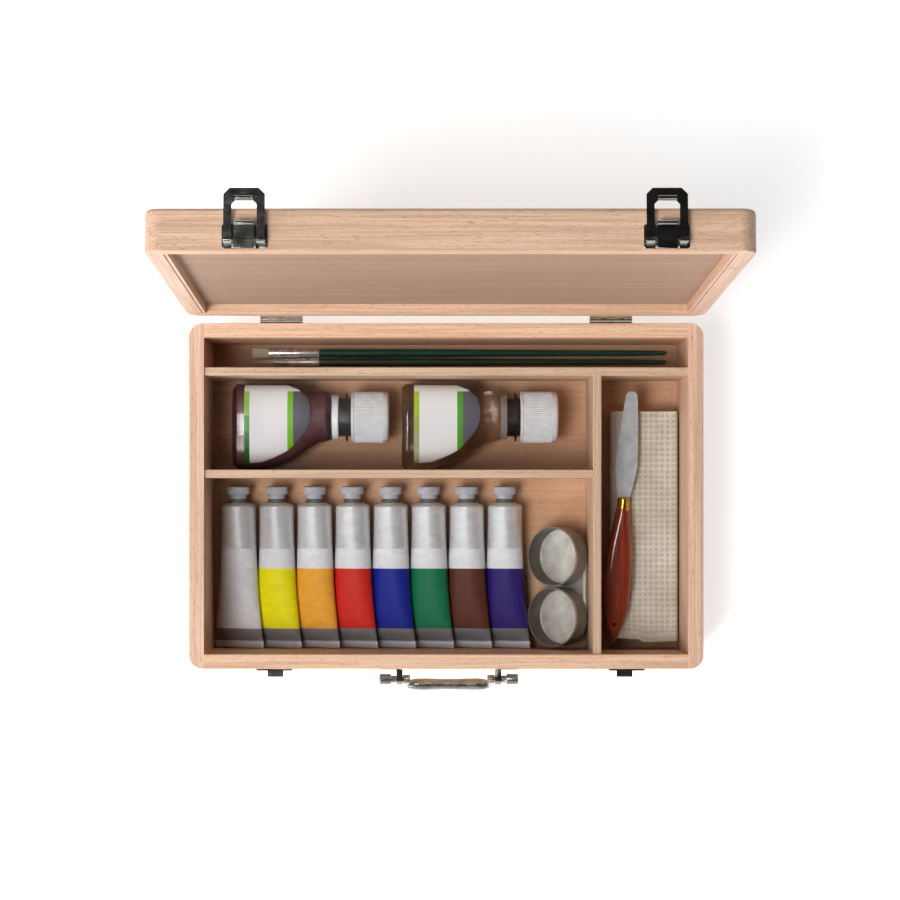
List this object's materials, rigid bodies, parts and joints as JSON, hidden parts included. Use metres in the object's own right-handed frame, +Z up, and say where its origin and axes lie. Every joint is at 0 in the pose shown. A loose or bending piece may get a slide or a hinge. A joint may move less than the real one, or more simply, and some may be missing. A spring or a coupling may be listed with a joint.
{
  "type": "wooden oil paint box",
  "caption": "Flat hinged wooden case with finger-jointed corners, toggle latches and a drop handle, holding oil paint tubes, bottles, brushes, a double cup, a knife and a cloth.",
  "frame": {"origin": "middle of the case's underside", "axes": "+Z up, +X to the right along the case, -Y towards the front with the handle; the lid is hinged at the back and stands open"},
  "size_m": [0.375, 0.333, 0.3389],
  "materials": {
    "beech": "satin lacquer",
    "plywood": "satin",
    "bright_steel": "bright plated",
    "tinned_steel": "satin",
    "brass": "polished",
    "stained_wood": "gloss lacquer",
    "lacquered_green": "gloss lacquer",
    "bristle": "fine hair",
    "cotton": "waffle weave",
    "dark_bottle": "glossy, dark oil inside",
    "clear_bottle": "glossy, clear",
    "white_plastic": "ribbed",
    "grey_plastic": "matte",
    "tube_white": "painted band on a silver tube",
    "tube_lemon": "painted band on a silver tube",
    "tube_yellow": "painted band on a silver tube",
    "tube_red": "painted band on a silver tube",
    "tube_ultramarine": "painted band on a silver tube",
    "tube_green": "painted band on a silver tube",
    "tube_brown": "painted band on a silver tube",
    "tube_purple": "painted band on a silver tube"
  },
  "bodies": {
    "case": {"base_wall_left": "beech", "base_wall_right": "beech", "base_wall_front": "beech", "base_wall_back": "beech", "bottom_board": "plywood", "divider_long": "beech", "cross_dividers": "beech", "hinge_base_leaves": "bright_steel", "hinge_pins": "bright_steel", "strike_plates": "bright_steel", "handle_brackets": "bright_steel", "base_screws": "bright_steel"},
    "lid": {"lid_wall_left": "beech", "lid_wall_right": "beech", "lid_wall_front": "beech", "lid_wall_back": "beech", "lid_panel": "plywood", "lid_inner_board": "plywood", "lid_battens": "beech", "lid_catch": "bright_steel", "hinge_lid_leaves": "bright_steel", "latch_plates": "bright_steel", "lid_screws": "bright_steel"},
    "lever_left": {"latch_lever_left": "bright_steel"},
    "loop_left": {"latch_loop_left": "bright_steel"},
    "lever_right": {"latch_lever_right": "bright_steel"},
    "loop_right": {"latch_loop_right": "bright_steel"},
    "handle": {"handle_bail": "bright_steel"},
    "brush_back": {"brush_back_handle": "lacquered_green", "brush_back_ferrule": "bright_steel", "brush_back_bristles": "bristle"},
    "brush_front": {"brush_front_handle": "lacquered_green", "brush_front_ferrule": "bright_steel", "brush_front_bristles": "bristle"},
    "bottle_left": {"bottle_left": "dark_bottle"},
    "bottle_left_cap": {"bottle_left_cap": "white_plastic"},
    "bottle_right": {"bottle_right": "clear_bottle"},
    "bottle_right_cap": {"bottle_right_cap": "white_plastic"},
    "tube_1": {"tube_1": "tube_white"},
    "tube_1_cap": {"tube_1_cap": "grey_plastic"},
    "tube_2": {"tube_2": "tube_lemon"},
    "tube_2_cap": {"tube_2_cap": "grey_plastic"},
    "tube_3": {"tube_3": "tube_yellow"},
    "tube_3_cap": {"tube_3_cap": "grey_plastic"},
    "tube_4": {"tube_4": "tube_red"},
    "tube_4_cap": {"tube_4_cap": "grey_plastic"},
    "tube_5": {"tube_5": "tube_ultramarine"},
    "tube_5_cap": {"tube_5_cap": "grey_plastic"},
    "tube_6": {"tube_6": "tube_green"},
    "tube_6_cap": {"tube_6_cap": "grey_plastic"},
    "tube_7": {"tube_7": "tube_brown"},
    "tube_7_cap": {"tube_7_cap": "grey_plastic"},
    "tube_8": {"tube_8": "tube_purple"},
    "tube_8_cap": {"tube_8_cap": "grey_plastic"},
    "cloth": {"cloth": "cotton"},
    "knife": {"knife_blade": "bright_steel", "knife_ferrule": "brass", "knife_handle": "stained_wood"},
    "double_cup": {"cups": "tinned_steel", "cup_clip": "tinned_steel"}
  },
  "joints": [
    {"name": "lid_hinge", "type": "hinge", "parent": "case", "child": "lid", "pos_m": [0, 0.1287, 0.0778], "axis": [1, 0, 0], "range_deg": [0, 94]},
    {"name": "lever_left_pivot", "type": "hinge", "parent": "lid", "child": "lever_left", "pos_m": [-0.1255, 0.15177, 0.33602], "axis": [-1, 0, 0], "range_deg": [-165, 0]},
    {"name": "loop_left_pivot", "type": "hinge", "parent": "lever_left", "child": "loop_left", "pos_m": [-0.1255, 0.15496, 0.3358], "axis": [1, 0, 0], "range_deg": [0, 180]},
    {"name": "lever_right_pivot", "type": "hinge", "parent": "lid", "child": "lever_right", "pos_m": [0.1315, 0.15177, 0.33602], "axis": [-1, 0, 0], "range_deg": [-165, 0]},
    {"name": "loop_right_pivot", "type": "hinge", "parent": "lever_right", "child": "loop_right", "pos_m": [0.1315, 0.15496, 0.3358], "axis": [1, 0, 0], "range_deg": [0, 180]},
    {"name": "handle_pivot", "type": "hinge", "parent": "case", "child": "handle", "pos_m": [0.0022, -0.1359, 0.05], "axis": [-1, 0, 0], "range_deg": [0, 165]},
    {"name": "brush_back_lift", "type": "slide", "parent": "case", "child": "brush_back", "axis": [0, 0, -1], "range_m": [-0.08, 0]},
    {"name": "brush_front_lift", "type": "slide", "parent": "case", "child": "brush_front", "axis": [0, 0, -1], "range_m": [-0.08, 0]},
    {"name": "bottle_left_lift", "type": "slide", "parent": "case", "child": "bottle_left", "axis": [0, 0, -1], "range_m": [-0.09, 0]},
    {"name": "bottle_left_cap_turn", "type": "hinge", "parent": "bottle_left", "child": "bottle_left_cap", "pos_m": [-0.0594, 0.0596, 0.0256], "axis": [1, 0, 0], "range_deg": [0, 540]},
    {"name": "bottle_right_lift", "type": "slide", "parent": "case", "child": "bottle_right", "axis": [0, 0, -1], "range_m": [-0.09, 0]},
    {"name": "bottle_right_cap_turn", "type": "hinge", "parent": "bottle_right", "child": "bottle_right_cap", "pos_m": [0.0673, 0.0596, 0.0256], "axis": [1, 0, 0], "range_deg": [0, 540]},
    {"name": "tube_8_lift", "type": "slide", "parent": "case", "child": "tube_8", "axis": [0, 0, -1], "range_m": [-0.08, 0]},
    {"name": "tube_8_cap_turn", "type": "hinge", "parent": "tube_8", "child": "tube_8_cap", "pos_m": [0.0451, 0.00067, 0.01954], "axis": [0, 0.9989, 0.0472], "range_deg": [0, 360]},
    {"name": "tube_7_lift", "type": "slide", "parent": "tube_8", "child": "tube_7", "axis": [0, 0, -1], "range_m": [-0.03, 0]},
    {"name": "tube_7_cap_turn", "type": "hinge", "parent": "tube_7", "child": "tube_7_cap", "pos_m": [0.0163, 0.00067, 0.01954], "axis": [0, 0.9989, 0.0472], "range_deg": [0, 360]},
    {"name": "tube_6_lift", "type": "slide", "parent": "tube_7", "child": "tube_6", "axis": [0, 0, -1], "range_m": [-0.03, 0]},
    {"name": "tube_6_cap_turn", "type": "hinge", "parent": "tube_6", "child": "tube_6_cap", "pos_m": [-0.0125, 0.00067, 0.01954], "axis": [0, 0.9989, 0.0472], "range_deg": [0, 360]},
    {"name": "tube_5_lift", "type": "slide", "parent": "tube_6", "child": "tube_5", "axis": [0, 0, -1], "range_m": [-0.03, 0]},
    {"name": "tube_5_cap_turn", "type": "hinge", "parent": "tube_5", "child": "tube_5_cap", "pos_m": [-0.0413, 0.00067, 0.01954], "axis": [0, 0.9989, 0.0472], "range_deg": [0, 360]},
    {"name": "tube_4_lift", "type": "slide", "parent": "tube_5", "child": "tube_4", "axis": [0, 0, -1], "range_m": [-0.03, 0]},
    {"name": "tube_4_cap_turn", "type": "hinge", "parent": "tube_4", "child": "tube_4_cap", "pos_m": [-0.0701, 0.00067, 0.01954], "axis": [0, 0.9989, 0.0472], "range_deg": [0, 360]},
    {"name": "tube_3_lift", "type": "slide", "parent": "tube_4", "child": "tube_3", "axis": [0, 0, -1], "range_m": [-0.03, 0]},
    {"name": "tube_3_cap_turn", "type": "hinge", "parent": "tube_3", "child": "tube_3_cap", "pos_m": [-0.0989, 0.00067, 0.01954], "axis": [0, 0.9989, 0.0472], "range_deg": [0, 360]},
    {"name": "tube_2_lift", "type": "slide", "parent": "tube_3", "child": "tube_2", "axis": [0, 0, -1], "range_m": [-0.03, 0]},
    {"name": "tube_2_cap_turn", "type": "hinge", "parent": "tube_2", "child": "tube_2_cap", "pos_m": [-0.1277, 0.00067, 0.01954], "axis": [0, 0.9989, 0.0472], "range_deg": [0, 360]},
    {"name": "tube_1_lift", "type": "slide", "parent": "tube_2", "child": "tube_1", "axis": [0, 0, -1], "range_m": [-0.03, 0]},
    {"name": "tube_1_cap_turn", "type": "hinge", "parent": "tube_1", "child": "tube_1_cap", "pos_m": [-0.1565, 0.00067, 0.01954], "axis": [0, 0.9989, 0.0472], "range_deg": [0, 360]},
    {"name": "double_cup_lift", "type": "slide", "parent": "case", "child": "double_cup", "axis": [0, 0, -1], "range_m": [-0.09, 0]},
    {"name": "cloth_lift", "type": "slide", "parent": "case", "child": "cloth", "axis": [0, 0, -1], "range_m": [-0.09, 0]},
    {"name": "knife_lift", "type": "slide", "parent": "cloth", "child": "knife", "axis": [0, 0, -1], "range_m": [-0.06, 0]}
  ]
}
